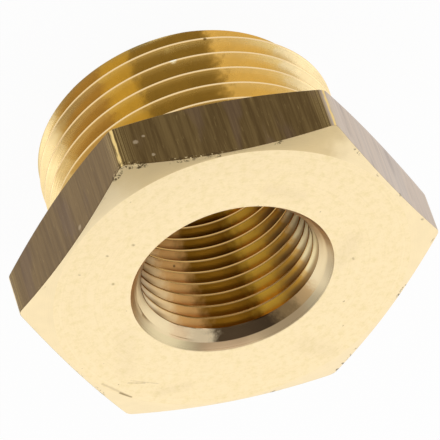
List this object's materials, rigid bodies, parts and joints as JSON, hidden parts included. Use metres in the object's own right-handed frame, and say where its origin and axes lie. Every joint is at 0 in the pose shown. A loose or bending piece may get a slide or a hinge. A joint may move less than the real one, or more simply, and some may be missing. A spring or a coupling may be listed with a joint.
{
  "type": "hex bushing",
  "caption": "Brass reducing hex bushing: a hexagon head on a male parallel pipe thread, bored through and countersunk for a smaller female pipe thread.",
  "frame": {"origin": "centre of the male thread's end face, which the bushing stands on", "axes": "+Z along the common axis of both threads, towards the hexagon head; +X towards a corner of the hexagon and +Y towards one of its flats"},
  "size_m": [0.0368, 0.032, 0.0174],
  "materials": {
    "brass": "satin"
  },
  "bodies": {
    "root": {"bushing_body": "brass"}
  },
  "joints": []
}
